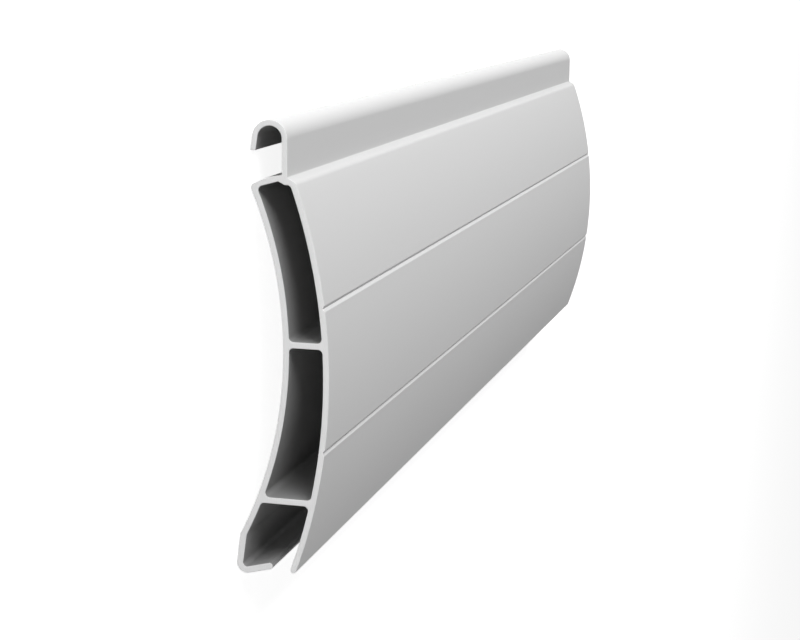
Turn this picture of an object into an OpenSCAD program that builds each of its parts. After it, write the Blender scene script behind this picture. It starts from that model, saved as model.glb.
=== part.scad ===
// Roller shutter slat: a hollow, curved aluminium extrusion, sawn square at both ends.
// It lies on its hollow back with the convex front face up.
// X runs along the slat, Y runs from the foot to the hook, and Z points out of the front face.
// The section is drawn as [along, out]: along from the lower tip towards the hook,
// and out towards the front, with the front of the hook's stem at zero.

/* [Slat] */
// Length of the sawn piece
length = 300; // [100:5:600]
// Height of front that stays in view, from the lower tip to the top of the shoulder's ledge
cover = 77; // [75:0.5:79]
// Thickness of the front and back walls
wall = 1.2; // [0.9:0.05:1.5]

/* [Front] */
// Radius of the convex front face
front_r = 112; // [104:1:122]
// How far the middle of the front face stands out in front of the stem
belly = 8.15; // [7.5:0.05:9]
// Distance between the two grooves, which sit evenly about the middle
groove_gap = 28; // [20:0.5:36]
// Width of a groove at the surface
groove_w = 1.2; // [0.6:0.1:1.6]
// Depth of a groove
groove_d = 0.35; // [0.1:0.05:0.45]
// Rounding where the front face turns into the shoulder
shoulder_r = 1.5; // [1:0.25:2]

/* [Back] */
// Radius of the hollow back face
back_r = 80; // [76:1:86]
// How far behind the stem's front the hollow back comes nearest to the front wall
hollow = 1; // [0.7:0.05:1.4]
// Height of that nearest place above the lower tip
hollow_at = 43.8; // [42:0.2:46]
// Rounding of the upper back corner
back_corner_r = 0.9; // [0.5:0.1:1.2]

/* [Chambers] */
// Height of the middle of the upper web above the lower tip
upper_web_at = 45.2; // [40:0.2:50]
// Height of the middle of the lower web above the lower tip
lower_web_at = 14.3; // [13:0.2:18]
// Thickness of both webs
web = 1.2; // [0.9:0.05:1.6]
// Rounding inside the corners of the chambers
corner_r = 0.9; // [0.5:0.1:1.2]

/* [Shoulder] */
// Thickness of the shoulder below the top of its front ledge
ledge = 1.4; // [1.2:0.05:1.8]
// Fall of the ledge from the stem towards the front, in degrees
ledge_fall = 30; // [22:1:38]
// Rise of the seat's top, behind the stem, above the front ledge
seat_rise = 0.45; // [0.1:0.05:0.8]
// How far the seat reaches behind the front of the stem
seat_back = 3.8; // [3:0.1:4.6]
// Fall of the seat from the stem towards the back, in degrees
seat_fall = 9; // [5:1:12]
// Fall of the roof behind the seat, in degrees
roof_fall = 24; // [20:1:28]
// Slope of the chamber's ceiling under the roof, in degrees
ceiling_slope = 16; // [12:1:20]
// Width of the ceiling's step beneath the stem
step_run = 1.3; // [0.9:0.1:1.8]
// Rounding at the root of the stem
root_r = 0.4; // [0.2:0.1:0.6]

/* [Hook] */
// Height of the hook's top above the front ledge
hook_rise = 10.7; // [10:0.1:13]
// Inner radius of the hook
hook_r = 2.4; // [2.2:0.1:2.9]
// Thickness of the hook and its stem
hook_wall = 1.1; // [0.9:0.05:1.3]
// Distance from the hook's top down to the end of its free lip
hook_drop = 5.8; // [5:0.1:6.6]
// Outward lean of the free lip, in degrees
hook_flare = 8; // [5:1:10]
// Rounding of the two edges of the free lip's end
hook_edge_r = 0.3; // [0.15:0.05:0.4]

/* [Foot] */
// How far the foot reaches behind the front of the stem
foot_back = 10.7; // [10.4:0.1:11.2]
// How far the foot reaches below the lower tip
foot_drop = 0.8; // [0.5:0.1:1.2]
// Thickness of the foot's wall and its lip
lip_wall = 1.3; // [1:0.05:1.6]
// Inner radius of the foot's bend
foot_r = 0.8; // [0.5:0.1:1.2]
// Backward lean of the foot's wall, in degrees
foot_lean = 8; // [7:0.1:10]
// Rise of the lip towards the front, in degrees
lip_rise = 14.5; // [12:0.5:18]
// Reach of the lip from the back of the foot to its rounded end
lip_reach = 7.4; // [7:0.1:8.4]

/* [Hidden] */
$fn = 360;

// Reach of the cutting outlines, well past the section on every side
past = 30;
// Hair by which a rounding is larger than its radius, so that it crosses its two sides cleanly
hair = 0.001;

// Centres of the front and back arcs
front_c = [cover / 2, belly - front_r];
back_c = [hollow_at, -hollow - back_r];
front_inner_r = front_r - wall;
back_inner_r = back_r + wall;

// Lower tip of the front wall, rounded over its whole thickness
tip_c = meet([wall / 2, 0], [0, 1], front_c, front_r - wall / 2);
tip_dir = unit(tip_c - front_c);

// Levels of the shoulder and of the webs' faces
seat_at = cover + seat_rise;
ledge_under = cover - ledge;
peak_at = seat_at - wall;
peak_out = -hook_wall / 2 - step_run;
upper_web_top = upper_web_at + web / 2;
upper_web_under = upper_web_at - web / 2;
lower_web_top = lower_web_at + web / 2;
lower_web_under = lower_web_at - web / 2;

// Directions down the ledge, and up the seat, the roof and the chamber's ceiling,
// the ways that these face, and the centres of the roundings at the root of the stem
ledge_top = [cover, 0];
ledge_dir = [-sin(ledge_fall), cos(ledge_fall)];
ledge_face = [cos(ledge_fall), sin(ledge_fall)];
seat_top = [seat_at, -hook_wall];
seat_dir = [sin(seat_fall), cos(seat_fall)];
seat_face = [cos(seat_fall), -sin(seat_fall)];
roof_dir = [sin(roof_fall), cos(roof_fall)];
roof_face = [cos(roof_fall), -sin(roof_fall)];
ceiling_dir = [sin(ceiling_slope), cos(ceiling_slope)];
ceiling_face = [cos(ceiling_slope), -sin(ceiling_slope)];
ridge = out_to(seat_top, seat_dir, -seat_back);
front_root_c = out_to(ledge_top + root_r * ledge_face, ledge_dir, root_r);
back_root_c = out_to(seat_top + root_r * seat_face, seat_dir, -hook_wall - root_r);
peak = [peak_at, peak_out];

// Hook: its centre, and the direction and facing of its free lip
hook_outer_r = hook_r + hook_wall;
hook_c = [cover + hook_rise - hook_outer_r, -hook_outer_r];
flare_dir = [-cos(hook_flare), -sin(hook_flare)];
flare_face = [sin(hook_flare), -cos(hook_flare)];
hook_end_at = cover + hook_rise - hook_drop;
hook_edge_outer = lip_edge(hook_outer_r - hook_edge_r);
hook_edge_inner = lip_edge(hook_r + hook_edge_r);

// Foot: the centre of its bend, the ways that its wall and lip face, and the lip's end
foot_outer_r = foot_r + lip_wall;
foot_c = [foot_outer_r - foot_drop, foot_outer_r - foot_back];
foot_face = [sin(foot_lean), -cos(foot_lean)];
foot_dir = [cos(foot_lean), sin(foot_lean)];
lip_face = [-cos(lip_rise), sin(lip_rise)];
lip_dir = [sin(lip_rise), cos(lip_rise)];
lip_start = foot_c + (foot_r + lip_wall / 2) * lip_face;
lip_end = out_to(lip_start, lip_dir, lip_reach - foot_back - lip_wall / 2);

// Lying pose: the floor touches the foot's bend and the outer edge of the hook's free lip
reach = hook_edge_outer - foot_c;
lie_angle = atan2(reach[1], reach[0]) + asin((foot_outer_r - hook_edge_r) / norm(reach));
floor_out = turn(foot_c, -lie_angle)[1] - foot_outer_r;
foot_edge = turn(foot_c, -lie_angle)[0] - foot_outer_r;
hook_edge = turn(hook_c, -lie_angle)[0] + hook_outer_r;

function unit(p) = p / norm(p);

function turn(p, angle) =
    [p[0] * cos(angle) - p[1] * sin(angle), p[0] * sin(angle) + p[1] * cos(angle)];

// Where a line through a point, along a unit vector, last crosses a circle
function meet(p, dir, c, r) =
    let (to_c = c - p, run = to_c * dir)
    p + (run + sqrt(r * r - to_c * to_c + run * run)) * dir;

// Where a line through a point, along a unit vector, reaches a height above the lower tip
function down_to(p, dir, at) = p + (at - p[0]) / dir[0] * dir;

// Where such a line reaches a distance in front of the stem
function out_to(p, dir, out) = p + (out - p[1]) / dir[1] * dir;

// Centre of the rounding at an edge of the hook's free lip,
// when its circle's centre lies at a distance from the hook's own along the way that the lip faces
function lip_edge(side_r) =
    down_to(hook_c + side_r * flare_face, flare_dir, hook_end_at + hook_edge_r);

// Corner of two lines that touch a circle in the directions a and b from its centre
function corner(c, r, a, b) = c + r * (a + b) / (1 + a * b);

// What lies outside a rounding whose circle touches the two sides in the directions a and b
module sharp_corner(at, r, a, b) {
    translate(at)
        difference() {
            polygon(2 * r * [[0, 0], a, (a + b) / (1 + a * b), b]);
            circle(r + hair);
        }
}

// Outline of the hollow body, filled in
module body() {
    foot_corner = corner(foot_c, foot_outer_r, foot_face, lip_face);
    shoulder_c = meet(ledge_top - shoulder_r * ledge_face, ledge_dir, front_c, front_r - shoulder_r);
    back_corner_c = meet(ridge - back_corner_r * roof_face, roof_dir, back_c, back_r + back_corner_r);
    difference() {
        intersection() {
            translate(front_c) circle(front_r);
            polygon([
                foot_corner,
                down_to(foot_corner, foot_dir, hollow_at),
                [hollow_at, -past],
                ridge - past * roof_dir,
                ridge,
                back_root_c - root_r * seat_face,
                back_root_c,
                [back_root_c[0], -hook_wall / 2],
                [front_root_c[0], -hook_wall / 2],
                front_root_c,
                front_root_c - root_r * ledge_face,
                ledge_top + past * ledge_dir,
                tip_c + past * tip_dir,
                tip_c - wall * tip_dir,
                lip_end + lip_wall / 2 * lip_face,
            ]);
        }
        translate(back_c) circle(back_r);
        translate(front_root_c) circle(root_r + hair);
        translate(back_root_c) circle(root_r + hair);
        sharp_corner(foot_c, foot_outer_r, foot_face, lip_face);
        sharp_corner(shoulder_c, shoulder_r, ledge_face, unit(shoulder_c - front_c));
        sharp_corner(back_corner_c, back_corner_r, roof_face, unit(back_c - back_corner_c));
    }
}

// Hook, its free lip and its stem, which is rooted in the shoulder
module hook() {
    outer_touch = hook_c + hook_outer_r * flare_face;
    inner_touch = hook_c + hook_r * flare_face;
    below_end = hook_end_at - hook_wall;
    difference() {
        union() {
            translate(hook_c) circle(hook_outer_r + hair);
            polygon([
                [hook_c[0], 0],
                [ledge_under + ledge / 2, 0],
                [ledge_under + ledge / 2, -hook_wall],
                [below_end, -hook_wall],
                down_to(outer_touch, flare_dir, below_end),
                outer_touch,
                hook_c,
            ]);
        }
        translate(hook_c) circle(hook_r + hair);
        polygon([
            [hook_c[0], -hook_wall],
            [below_end, -hook_wall],
            down_to(inner_touch, flare_dir, below_end),
            inner_touch,
            hook_c,
        ]);
        translate([hook_end_at - past, -past]) square([past, past - hook_wall]);
        sharp_corner(hook_edge_outer, hook_edge_r, flare_face, [-1, 0]);
        sharp_corner(hook_edge_inner, hook_edge_r, -flare_face, [-1, 0]);
    }
}

// Space between the front and back walls, from one height to another
module between_walls(low, high) {
    difference() {
        intersection() {
            translate(front_c) circle(front_inner_r);
            translate([low, -past]) square([high - low, 2 * past]);
        }
        translate(back_c) circle(back_inner_r);
    }
}

// Sharp corners where a level face of a chamber meets the front wall, and the back wall too;
// the chamber lies above the face when side is 1, and below it when side is -1
module front_corner(level, side) {
    at = meet([level + side * corner_r, 0], [0, 1], front_c, front_inner_r - corner_r);
    sharp_corner(at, corner_r, [-side, 0], unit(at - front_c));
}

module back_corner(level, side) {
    at = meet([level + side * corner_r, 0], [0, 1], back_c, back_inner_r + corner_r);
    sharp_corner(at, corner_r, [-side, 0], unit(back_c - at));
}

// Chamber under the shoulder, with its ceiling stepped up behind the stem
module upper_chamber() {
    back_c_r = back_inner_r + corner_r;
    ceiling_corner = meet(peak - corner_r * ceiling_face, ceiling_dir, back_c, back_c_r);
    difference() {
        intersection() {
            between_walls(upper_web_top, seat_at);
            polygon([
                [upper_web_at, -past],
                [upper_web_at, past],
                [ledge_under, past],
                [ledge_under, -hook_wall / 2],
                peak,
                peak - past * ceiling_dir,
            ]);
        }
        front_corner(upper_web_top, 1);
        back_corner(upper_web_top, 1);
        front_corner(ledge_under, -1);
        sharp_corner(ceiling_corner, corner_r, ceiling_face, unit(back_c - ceiling_corner));
    }
}

// Chamber between the two webs
module middle_chamber() {
    difference() {
        between_walls(lower_web_top, upper_web_under);
        front_corner(lower_web_top, 1);
        back_corner(lower_web_top, 1);
        front_corner(upper_web_under, -1);
        back_corner(upper_web_under, -1);
    }
}

// Pocket below the lower web, open between the lip and the lower tip to take the next slat's hook
module pocket() {
    foot_corner = corner(foot_c, foot_r, foot_face, lip_face);
    lip_end_inner = lip_end - lip_wall / 2 * lip_face;
    difference() {
        intersection() {
            between_walls(-past, lower_web_under);
            polygon([
                foot_corner,
                down_to(foot_corner, foot_dir, lower_web_at),
                [lower_web_at, past],
                [-past, past],
                lip_end_inner + past * lip_face,
                lip_end_inner,
            ]);
        }
        front_corner(lower_web_under, -1);
        back_corner(lower_web_under, -1);
        sharp_corner(foot_c, foot_r, foot_face, lip_face);
    }
}

// One groove in the front face, at a height above the lower tip
module groove(at) {
    on_face = meet([at, 0], [0, 1], front_c, front_r);
    facing = on_face - front_c;
    translate(on_face)
        rotate(atan2(facing[1], facing[0]) - 90)
            polygon([[-groove_w, groove_d], [0, -groove_d], [groove_w, groove_d]]);
}

// Section of the extrusion
module section() {
    difference() {
        union() {
            body();
            hook();
        }
        upper_chamber();
        middle_chamber();
        pocket();
        for (side = [-1, 1])
            groove(cover / 2 + side * groove_gap / 2);
    }
    translate(tip_c) circle(wall / 2 + hair);
    translate(lip_end) circle(lip_wall / 2 + hair);
}

// The whole slat, lying on its back, centred over the floor that it covers
module slat() {
    color("gainsboro")
        translate([-length / 2, -(foot_edge + hook_edge) / 2, -floor_out])
            rotate([90, 0, 90])
                linear_extrude(length)
                    rotate(-lie_angle)
                        section();
}

slat();
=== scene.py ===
import math

import bmesh
import bpy
import numpy as np
from mathutils import Matrix, Vector


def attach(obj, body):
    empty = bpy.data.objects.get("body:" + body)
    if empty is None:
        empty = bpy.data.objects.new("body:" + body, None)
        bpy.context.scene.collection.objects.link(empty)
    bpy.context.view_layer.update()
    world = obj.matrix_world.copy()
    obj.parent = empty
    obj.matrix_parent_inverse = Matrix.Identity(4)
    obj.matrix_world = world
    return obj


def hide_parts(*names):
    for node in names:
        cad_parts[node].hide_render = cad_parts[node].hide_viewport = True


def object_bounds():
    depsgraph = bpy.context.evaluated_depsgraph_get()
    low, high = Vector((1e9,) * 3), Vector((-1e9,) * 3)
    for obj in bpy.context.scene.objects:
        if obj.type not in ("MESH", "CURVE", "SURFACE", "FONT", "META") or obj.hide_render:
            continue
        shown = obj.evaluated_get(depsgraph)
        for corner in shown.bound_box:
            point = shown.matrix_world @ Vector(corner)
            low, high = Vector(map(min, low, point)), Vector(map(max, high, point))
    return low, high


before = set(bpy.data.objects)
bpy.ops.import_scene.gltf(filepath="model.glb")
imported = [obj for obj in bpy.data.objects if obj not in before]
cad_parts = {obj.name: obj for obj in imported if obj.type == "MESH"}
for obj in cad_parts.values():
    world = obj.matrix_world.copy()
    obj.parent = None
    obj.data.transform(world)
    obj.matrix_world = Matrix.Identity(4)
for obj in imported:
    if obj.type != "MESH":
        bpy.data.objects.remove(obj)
cad_low, cad_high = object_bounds()

# Looks of a hollow aluminium slat for a roller shutter.
# The slat is a coated extrusion, sawn square at both ends. It lies on its hollow back, with the
# convex front up: X runs along it, Y from the foot to the hook, Z out of the front face.

MM = 0.001

# Points nearer than this are one
CORNER_MERGE = 0.001 * MM
# Sides that turn less than this, with lengths alike to this share, are steps of one arc
ARC_TURN = math.radians(12)
SAME_LENGTH = 0.01
# Largest turn at a step of an arc that is drawn finer
STEP_TURN = math.radians(2.2)
# Edges that turn more than this are shaded sharp
SHARP_TURN = math.radians(15)
# Directions looked along from each point to see how open the air in front of it is
AIR_RAYS = 48
# Rounding of the sawn edges
EDGE_EASING = 0.14 * MM

# Finishes: the grey, roughness and shine of each, and how much its marks change them
COAT_GREY = 0.70
COAT_GREY_SPREAD = 0.02
COAT_ROUGHNESS = 0.5
COAT_ROUGHNESS_SPREAD = 0.06
COAT_SHINE = 0.2
# Painted shade: this darker grey stands partly for bare metal inside the chambers and partly for the shade
# in hollows and corners.
BARE_METAL_AND_PAINTED_SHADE_GREY = 0.355
BARE_AND_SHADED_GREY_SPREAD = 0.1
BARE_ROUGHNESS = 0.6
BARE_ROUGHNESS_SPREAD = 0.1
BARE_SHINE = 0.1
SAWN_GREY = 0.76
SAWN_RIDGE_SPREAD = 0.012
SAWN_GRAIN_SPREAD = 0.06
SAWN_CLOUD_SPREAD = 0.03
SAWN_ROUGHNESS = 0.5
SAWN_ROUGHNESS_SPREAD = 0.1
SAWN_SHINE = 0.4

# Marks in the finishes: the size of their lumps along X, Y and Z, and how far they stand out
TONE_LUMPS = (90 * MM, 30 * MM, 30 * MM)
PEEL_LUMPS = (0.8 * MM, 0.8 * MM, 0.8 * MM)
PEEL_HEIGHT = 0.001 * MM
DIE_LINE_LUMPS = (140 * MM, 0.35 * MM, 0.35 * MM)
DIE_LINE_HEIGHT = 0.002 * MM
SAW_CLOUD_LUMPS = (3 * MM, 3 * MM, 3 * MM)
SAW_GRAIN_LUMPS = (0.15 * MM, 0.15 * MM, 0.15 * MM)
SAW_GRAIN_HEIGHT = 0.002 * MM

# Arcs left by the saw: the middle of the blade, and the pitch, wander and height of the ridges
BLADE_AT = Vector((0, -60, -190)) * MM
RIDGE_PITCH = 0.45 * MM
RIDGE_WANDER = 1.2
RIDGE_HEIGHT = 0.0015 * MM

# Camera, in the frame of the slat
CAMERA_AT = Vector((-477.5, 78.4, 115.9)) * MM
LOOK_ALONG = Vector((0.9480, -0.2008, -0.2471))
PICTURE_UP = Vector((0.1816, 0.9784, -0.0982))
LENS_MM = 83.69
NEAREST_SEEN = 10 * MM

# Stage: the floor's side in metres, its grey and its glow to the camera, and the light from all round
FLOOR_SIDE = 12.0
FLOOR_GREY = 0.8
FLOOR_WHITE = 0.86
SKY_LEVEL = 0.08

# Soft lamps: where each stands, its width and its height in metres, and its watts
LAMPS = {
    "hook_side": ((-0.2, 1.15, 0.62), 1.8, 0.5, 22.4),
    "foot_side": ((-0.2, -1.3, 0.2), 1.8, 0.4, 2.5),
    "near_end": ((-1.4, 0.0, 0.12), 0.8, 0.2, 5.75),
}


class Wire:
    """An output socket of a node. Arithmetic on it adds Math nodes to the same tree."""

    def __init__(self, graph, socket):
        self.graph = graph
        self.socket = socket

    def math(self, operation, *others):
        """A Math node whose first value is this wire."""
        return self.graph.math(operation, self, *others)

    def __add__(self, other):
        return self.math("ADD", other)

    def __sub__(self, other):
        return self.math("SUBTRACT", other)

    def __mul__(self, other):
        return self.math("MULTIPLY", other)

    def __truediv__(self, other):
        return self.math("DIVIDE", other)

    def __rsub__(self, other):
        return self.graph.math("SUBTRACT", other, self)

    def __rtruediv__(self, other):
        return self.graph.math("DIVIDE", other, self)

    __radd__ = __add__
    __rmul__ = __mul__


class Graph:
    """A node tree, and the one way in which nodes are added to it."""

    def __init__(self, tree):
        self.tree = tree
        tree.nodes.clear()

    def node(self, kind, settings=None, inputs=None, output=None):
        """Adds a node: its settings first, then the values or links of its sockets."""
        made = self.tree.nodes.new(kind)
        for name, value in (settings or {}).items():
            setattr(made, name, value)
        for key, value in (inputs or {}).items():
            socket = self.socket(made.inputs, key)
            for part in value if isinstance(value, list) else [value]:
                if isinstance(part, Wire):
                    self.tree.links.new(part.socket, socket)
                else:
                    socket.default_value = part
        if not made.outputs:
            return made
        return Wire(self, self.socket(made.outputs, output or 0))

    def socket(self, sockets, key):
        """The socket with a number, or the shown one with a name."""
        if isinstance(key, int):
            return [s for s in sockets if s.enabled][key]
        return next(s for s in sockets if s.enabled and s.name == key)

    def other(self, wire, output):
        """Another output of the node that a wire comes from."""
        return Wire(self, self.socket(wire.socket.node.outputs, output))

    def math(self, operation, *values):
        """A Math node on numbers and wires."""
        return self.node("ShaderNodeMath", {"operation": operation}, dict(enumerate(values)))

    def along(self, vector, length):
        """A vector times a number."""
        inputs = {"Vector": vector, "Scale": length}
        return self.node("ShaderNodeVectorMath", {"operation": "SCALE"}, inputs)

    def noise(self, at, lumps, detail=2.0):
        """Noise about zero whose lumps are as large, along X, Y and Z, as lumps says in metres."""
        scale = tuple(1 / size for size in lumps)
        place = self.node("ShaderNodeMapping", None, {"Vector": at, "Scale": scale})
        inputs = {"Vector": place, "Scale": 1.0, "Detail": detail}
        return self.node("ShaderNodeTexNoise", None, inputs) - 0.5

    def stored(self, name, kind):
        """Attribute of a mesh in a geometry tree."""
        return self.node("GeometryNodeInputNamedAttribute", {"data_type": kind}, {"Name": name})


# The section, read from the sawn end of the solid


def sawn_loops(node):
    """Closed runs of (Y, Z) points round the near sawn end of a node, with the metal on their right."""
    solid = bmesh.new()
    solid.from_mesh(node.data)
    bmesh.ops.remove_doubles(solid, verts=solid.verts, dist=CORNER_MERGE)
    near = min(v.co.x for v in solid.verts)
    end = [f for f in solid.faces if all(v.co.x < near + CORNER_MERGE for v in f.verts)]
    follows = {}
    for face in end:
        for corner in face.loops:
            if corner.link_loop_radial_next.face not in end:
                follows[corner.vert] = corner.link_loop_next.vert
    loops = []
    while follows:
        start = next(iter(follows))
        loop = [start]
        while (vert := follows.pop(loop[-1])) is not start:
            loop.append(vert)
        loops.append(np.array([v.co.yz for v in loop]))
    solid.free()
    return loops


def turns_and_lengths(loop):
    """Turn at each point of a closed loop, and the length of the side that leaves it."""
    side = np.roll(loop, -1, axis=0) - loop
    heading = np.arctan2(side[:, 1], side[:, 0])
    turn = (heading - np.roll(heading, 1) + math.pi) % (2 * math.pi) - math.pi
    return turn, np.hypot(side[:, 0], side[:, 1])


def with_finer_arcs(loop):
    """The loop with each arc, a run of equal sides with small turns, drawn in finer steps."""
    turn, length = turns_and_lengths(loop)
    count = len(loop)
    points = []
    for i in range(count):
        points.append(loop[i])
        stop = (i + 1) % count
        for there in (stop, i):
            before = (there - 1) % count
            alike = abs(length[there] - length[before]) < SAME_LENGTH * length[i]
            if alike and abs(turn[there]) < ARC_TURN:
                points += arc_points(loop[i], loop[stop], turn[there])
                break
    return np.array(points)


def arc_points(start, stop, turn):
    """Points between two, on the arc that turns by the given angle from one to the other."""
    steps = math.ceil(abs(turn) / STEP_TURN)
    chord = stop - start
    across = np.array([-chord[1], chord[0]])
    centre = (start + stop) / 2 + across / (2 * math.tan(turn / 2))
    spoke = start - centre
    sideways = np.array([-spoke[1], spoke[0]])
    angles = [turn * k / steps for k in range(1, steps)]
    return [centre + spoke * math.cos(a) + sideways * math.sin(a) for a in angles]


def outward(loop):
    """At each point, the way out of the metal, as long as a mitre needs."""
    side = np.roll(loop, -1, axis=0) - loop
    side /= np.hypot(side[:, 0], side[:, 1])[:, None]
    left = np.column_stack([-side[:, 1], side[:, 0]])
    before = np.roll(left, 1, axis=0)
    return (left + before) / (1 + np.sum(left * before, axis=1))[:, None]


def open_air(points, ways_out, loops):
    """Share of the directions out of each point that reach the open air past every wall of the section."""
    starts = np.concatenate(loops)
    sides = np.concatenate([np.roll(loop, -1, axis=0) - loop for loop in loops])
    slants = (np.arange(AIR_RAYS) + 0.5) / AIR_RAYS * 2 - 1
    shares = []
    for point, way in zip(points, ways_out / np.hypot(*ways_out.T)[:, None]):
        origin = point + way * EDGE_EASING
        straight = np.sqrt(1 - slants**2)[:, None] * way
        rays = straight + slants[:, None] * np.array([-way[1], way[0]])
        gap = starts - origin
        cross = rays[:, :1] * sides[:, 1] - rays[:, 1:] * sides[:, 0]
        cross[cross == 0] = CORNER_MERGE
        reach = (gap[:, 0] * sides[:, 1] - gap[:, 1] * sides[:, 0]) / cross
        share = (gap[:, 0] * rays[:, 1:] - gap[:, 1] * rays[:, :1]) / cross
        blocked = ((reach > 0) & (share >= 0) & (share <= 1)).any(axis=1)
        shares.append(1 - blocked.mean())
    return np.array(shares)


def section_mesh(loops):
    """Outline of the section as edges, drawn in the XY plane, that knows its ways out and its open air."""
    fine = [with_finer_arcs(loop) for loop in loops]
    points = np.concatenate(fine)
    ways_out = np.concatenate([outward(loop) for loop in fine])
    edges = []
    for loop in fine:
        first = len(edges)
        edges += [(first + k, first + (k + 1) % len(loop)) for k in range(len(loop))]
    mesh = bpy.data.meshes.new("slat_section")
    mesh.from_pydata(np.pad(points, ((0, 0), (0, 1))).tolist(), edges, [])
    flat = np.pad(ways_out, ((0, 0), (0, 1))).astype(np.float32)
    mesh.attributes.new("outward", "FLOAT_VECTOR", "POINT").data.foreach_set("vector", flat.ravel())
    # The open air share is the mask for the painted shade in the skin: sheltered walls get the darker
    # grey.
    air = open_air(points, ways_out, loops).astype(np.float32)
    mesh.attributes.new("open_air", "FLOAT", "POINT").data.foreach_set("value", air)
    return mesh


# The extrusion


def extrusion_tree():
    """Node tree that draws a section out along X, eases its sawn edges and closes its ends."""
    tree = bpy.data.node_groups.new("sawn_extrusion", "GeometryNodeTree")
    sockets = {
        "Section": "Geometry",
        "Length": "Float",
        "Edge easing": "Float",
        "Skin": "Material",
        "Sawn face": "Material",
    }
    for name, kind in sockets.items():
        tree.interface.new_socket(name=name, in_out="INPUT", socket_type="NodeSocket" + kind)
    tree.interface.new_socket(name="Slat", in_out="OUTPUT", socket_type="NodeSocketGeometry")
    graph = Graph(tree)
    section = graph.node("NodeGroupInput", output="Section")
    length = graph.other(section, "Length")
    easing = graph.other(section, "Edge easing")
    way_out = graph.stored("outward", "FLOAT_VECTOR")

    def moved(shape, selection, distance):
        """A shape with its points, or the selected ones, moved out of the metal."""
        inputs = {"Geometry": shape, "Offset": graph.along(way_out, distance)}
        if selection:
            inputs["Selection"] = selection
        return graph.node("GeometryNodeSetPosition", None, inputs)

    def marked(shape, selection, sawn):
        """A shape whose faces, or the selected ones, know whether they are sawn."""
        inputs = {"Geometry": shape, "Name": "sawn", "Value": sawn}
        if selection:
            inputs["Selection"] = selection
        settings = {"data_type": "BOOLEAN", "domain": "FACE"}
        return graph.node("GeometryNodeStoreNamedAttribute", settings, inputs)

    # Each ring of the skin: how far it is on from the one before, how far it stands out from it,
    # and whether the strip between them is sawn. An eased edge has a ring where it has half turned.
    small = 1 - math.cos(math.pi / 4)
    rings = [
        (easing * small, easing * (1 - small), True),
        (easing * (1 - small), easing * small, True),
        (length - easing * 2, 0.0, False),
        (easing * (1 - small), easing * -small, True),
        (easing * small, easing * (small - 1), True),
    ]
    rim = moved(section, None, easing * -1.0)
    skin = rim
    top = None
    for on, out, sawn in rings:
        offset = graph.node("ShaderNodeCombineXYZ", None, {"Z": on})
        inputs = {"Mesh": skin, "Offset": offset, "Offset Scale": 1.0}
        if top:
            inputs["Selection"] = top
        skin = graph.node("GeometryNodeExtrudeMesh", {"mode": "EDGES"}, inputs)
        top = graph.other(skin, "Top")
        skin = marked(skin, graph.other(skin, "Side"), sawn)
        skin = moved(skin, top, out)

    outline = graph.node("GeometryNodeMeshToCurve", None, {"Mesh": rim})
    end = graph.node("GeometryNodeFillCurve", {"mode": "TRIANGLES"}, {"Curve": outline})
    end = marked(end, None, True)
    near_end = graph.node("GeometryNodeFlipFaces", None, {"Mesh": end})
    far = graph.node("ShaderNodeCombineXYZ", None, {"Z": length})
    far_end = graph.node("GeometryNodeTransform", None, {"Geometry": end, "Translation": far})
    whole = graph.node("GeometryNodeJoinGeometry", None, {"Geometry": [skin, near_end, far_end]})
    whole = graph.node("GeometryNodeMergeByDistance", None, {"Geometry": whole, "Distance": CORNER_MERGE})

    whole = graph.node("GeometryNodeSetShadeSmooth", None, {"Geometry": whole, "Shade Smooth": True})
    sharp = graph.node("GeometryNodeInputMeshEdgeAngle").math("GREATER_THAN", SHARP_TURN)
    inputs = {"Geometry": whole, "Selection": sharp, "Shade Smooth": False}
    whole = graph.node("GeometryNodeSetShadeSmooth", {"domain": "EDGE"}, inputs)

    start = graph.node("ShaderNodeCombineXYZ", None, {"X": length * -0.5})
    turn = {"Geometry": whole, "Translation": start, "Rotation": (math.pi / 2, 0, math.pi / 2)}
    whole = graph.node("GeometryNodeTransform", None, turn)
    whole = graph.node("GeometryNodeRealizeInstances", None, {"Geometry": whole})
    skin_material = graph.other(section, "Skin")
    sawn_material = graph.other(section, "Sawn face")
    whole = graph.node("GeometryNodeSetMaterial", None, {"Geometry": whole, "Material": skin_material})
    sawn = graph.stored("sawn", "BOOLEAN")
    inputs = {"Geometry": whole, "Selection": sawn, "Material": sawn_material}
    whole = graph.node("GeometryNodeSetMaterial", None, inputs)
    graph.node("NodeGroupOutput", None, {"Slat": whole})
    return tree


def made_by(tree, name, mesh, values):
    """Plain mesh object that a node tree makes from a mesh."""
    source = bpy.data.objects.new(name + "_source", mesh)
    bpy.context.scene.collection.objects.link(source)
    modifier = source.modifiers.new("shape", "NODES")
    modifier.node_group = tree
    for item in tree.interface.items_tree:
        if item.in_out == "INPUT" and item.name in values:
            modifier[item.identifier] = values[item.name]
    graph = bpy.context.evaluated_depsgraph_get()
    shape = source.evaluated_get(graph)
    plain = bpy.data.meshes.new_from_object(shape, preserve_all_data_layers=True, depsgraph=graph)
    source.modifiers.remove(modifier)
    bpy.data.objects.remove(source)
    for slot in reversed(range(len(plain.materials))):
        if plain.materials[slot] is None:
            plain.materials.pop(index=slot)
    piece = bpy.data.objects.new(name, plain)
    bpy.context.scene.collection.objects.link(piece)
    return piece


# Finishes


def new_material(name):
    """A new material and its empty node tree."""
    material = bpy.data.materials.new(name)
    material.use_nodes = True
    return material, Graph(material.node_tree)


def grey(graph, level):
    """A colour as grey as a number says."""
    return graph.node("ShaderNodeCombineColor", None, {"Red": level, "Green": level, "Blue": level})


def bumps(graph, height):
    """Normals of a surface that stands out by a height in metres."""
    return graph.node("ShaderNodeBump", None, {"Height": height, "Distance": 1.0, "Strength": 1.0})


def finish_material(graph, shader):
    """Ends a material's tree in a shader."""
    graph.node("ShaderNodeOutputMaterial", None, {"Surface": shader})


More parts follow.
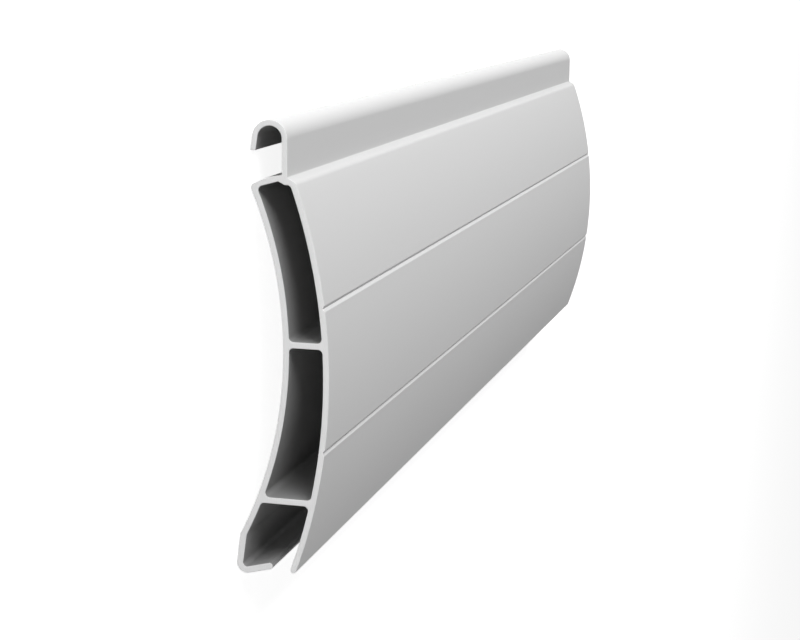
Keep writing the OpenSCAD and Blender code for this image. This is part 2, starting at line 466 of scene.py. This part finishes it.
def coated_skin():
    """Satin grey coat over a darker grey. The darker grey shows more where less of the air in front of a
    wall is open: painted shade in the hollows and corners, and partly bare metal inside the closed
    chambers.
    """
    material, graph = new_material("coated_skin")
    at = graph.node("ShaderNodeTexCoord", output="Object")
    reached = graph.node("ShaderNodeAttribute", {"attribute_name": "open_air"}, output="Fac")
    tone = graph.noise(at, TONE_LUMPS, detail=3.0)
    die_lines = graph.noise(at, DIE_LINE_LUMPS)
    peel = graph.noise(at, PEEL_LUMPS, detail=1.0)
    coat = graph.node("ShaderNodeBsdfPrincipled", None, {
        "Base Color": grey(graph, COAT_GREY * (1 + tone * COAT_GREY_SPREAD)),
        "Roughness": COAT_ROUGHNESS + tone * COAT_ROUGHNESS_SPREAD,
        "Specular IOR Level": COAT_SHINE,
        "Normal": bumps(graph, peel * PEEL_HEIGHT),
    })
    bare_and_painted_shade = graph.node("ShaderNodeBsdfPrincipled", None, {
        "Base Color": grey(graph, BARE_METAL_AND_PAINTED_SHADE_GREY * (1 + (tone + die_lines) * BARE_AND_SHADED_GREY_SPREAD)),
        "Roughness": BARE_ROUGHNESS + die_lines * BARE_ROUGHNESS_SPREAD,
        "Specular IOR Level": BARE_SHINE,
        "Normal": bumps(graph, die_lines * DIE_LINE_HEIGHT),
    })
    # Painted shade: the less open the air in front of a wall, the more of the darker grey is mixed in.
    # This darkens the chambers, the hook, the pocket and the corner by the stem.
    finish_material(graph, graph.node("ShaderNodeMixShader", None, {0: reached, 1: bare_and_painted_shade, 2: coat}))
    return material


def sawn_face():
    """Bare metal with the faint arcs that a circular saw leaves."""
    material, graph = new_material("sawn_face")
    at = graph.node("ShaderNodeTexCoord", output="Object")
    offset = graph.node("ShaderNodeVectorMath", {"operation": "SUBTRACT"}, {0: at, 1: BLADE_AT})
    flat = graph.node("ShaderNodeVectorMath", {"operation": "MULTIPLY"}, {0: offset, 1: (0, 1, 1)})
    radius = graph.node("ShaderNodeVectorMath", {"operation": "LENGTH"}, {0: flat}, "Value")
    cloud = graph.noise(at, SAW_CLOUD_LUMPS)
    grain = graph.noise(at, SAW_GRAIN_LUMPS)
    turns = radius / RIDGE_PITCH + cloud * RIDGE_WANDER
    ridges = (turns * (2 * math.pi)).math("SINE")
    marks = ridges * SAWN_RIDGE_SPREAD + grain * SAWN_GRAIN_SPREAD + cloud * SAWN_CLOUD_SPREAD
    shader = graph.node("ShaderNodeBsdfPrincipled", None, {
        "Base Color": grey(graph, SAWN_GREY * (1 + marks)),
        "Roughness": SAWN_ROUGHNESS + grain * SAWN_ROUGHNESS_SPREAD,
        "Specular IOR Level": SAWN_SHINE,
        "Normal": bumps(graph, ridges * RIDGE_HEIGHT + grain * SAW_GRAIN_HEIGHT),
    })
    finish_material(graph, shader)
    return material


# Stage


def seen_directly(graph):
    """1 for rays from the camera, from gloss and through glass, and 0 for rays that carry light."""
    from_camera = graph.node("ShaderNodeLightPath", output="Is Camera Ray")
    from_gloss = graph.other(from_camera, "Is Glossy Ray")
    through_glass = graph.other(from_camera, "Is Transmission Ray")
    return from_camera.math("MAXIMUM", from_gloss).math("MAXIMUM", through_glass)


def floor():
    """White floor that keeps a faint shadow."""
    material, graph = new_material("pale_floor")
    colour = (FLOOR_GREY, FLOOR_GREY, FLOOR_GREY, 1)
    matt = graph.node("ShaderNodeBsdfDiffuse", None, {"Color": colour})
    glow = seen_directly(graph) * FLOOR_WHITE
    white = graph.node("ShaderNodeEmission", None, {"Color": (1, 1, 1, 1), "Strength": glow})
    finish_material(graph, graph.node("ShaderNodeAddShader", None, {0: matt, 1: white}))
    half = FLOOR_SIDE / 2
    corners = [(-half, -half, 0), (half, -half, 0), (half, half, 0), (-half, half, 0)]
    mesh = bpy.data.meshes.new("floor")
    mesh.from_pydata(corners, [], [(0, 1, 2, 3)])
    mesh.materials.append(material)
    plane = bpy.data.objects.new("floor", mesh)
    bpy.context.scene.collection.objects.link(plane)


def sky():
    """White all round to the camera, and an even dim light on the slat."""
    world = bpy.data.worlds.new("studio")
    world.use_nodes = True
    bpy.context.scene.world = world
    graph = Graph(world.node_tree)
    seen = seen_directly(graph)
    level = SKY_LEVEL + seen * (1 - SKY_LEVEL)
    background = graph.node("ShaderNodeBackground", None, {"Color": (1, 1, 1, 1), "Strength": level})
    graph.node("ShaderNodeOutputWorld", None, {"Surface": background})


def softbox(name, at, width, height, watts):
    """A large soft lamp that faces the slat."""
    lamp = bpy.data.lights.new(name, "AREA")
    lamp.shape = "RECTANGLE"
    lamp.size = width
    lamp.size_y = height
    lamp.energy = watts
    placed = bpy.data.objects.new(name, lamp)
    placed.location = at
    placed.rotation_euler = (-Vector(at)).to_track_quat("-Z", "Y").to_euler()
    bpy.context.scene.collection.objects.link(placed)


def camera():
    """The photograph's view: along the slat from the near sawn end, with the hook at the top."""
    back = -LOOK_ALONG.normalized()
    right = PICTURE_UP.cross(back).normalized()
    up = back.cross(right)
    lens = bpy.data.cameras.new("camera")
    lens.lens = LENS_MM
    lens.clip_start = NEAREST_SEEN
    placed = bpy.data.objects.new("camera", lens)
    turned = Matrix((right, up, back)).transposed().to_4x4()
    placed.matrix_world = Matrix.Translation(CAMERA_AT) @ turned
    bpy.context.scene.collection.objects.link(placed)
    bpy.context.scene.camera = placed


camera()
floor()
sky()
for name, (at, width, height, watts) in LAMPS.items():
    softbox(name, at, width, height, watts)

outline = section_mesh(sawn_loops(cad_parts["slat"]))
sizes = {
    "Length": cad_high.x - cad_low.x,
    "Edge easing": EDGE_EASING,
    "Skin": coated_skin(),
    "Sawn face": sawn_face(),
}
slat = made_by(extrusion_tree(), "coated_slat", outline, sizes)
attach(slat, "root")
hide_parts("slat")

bpy.context.scene.view_settings.view_transform = "Standard"
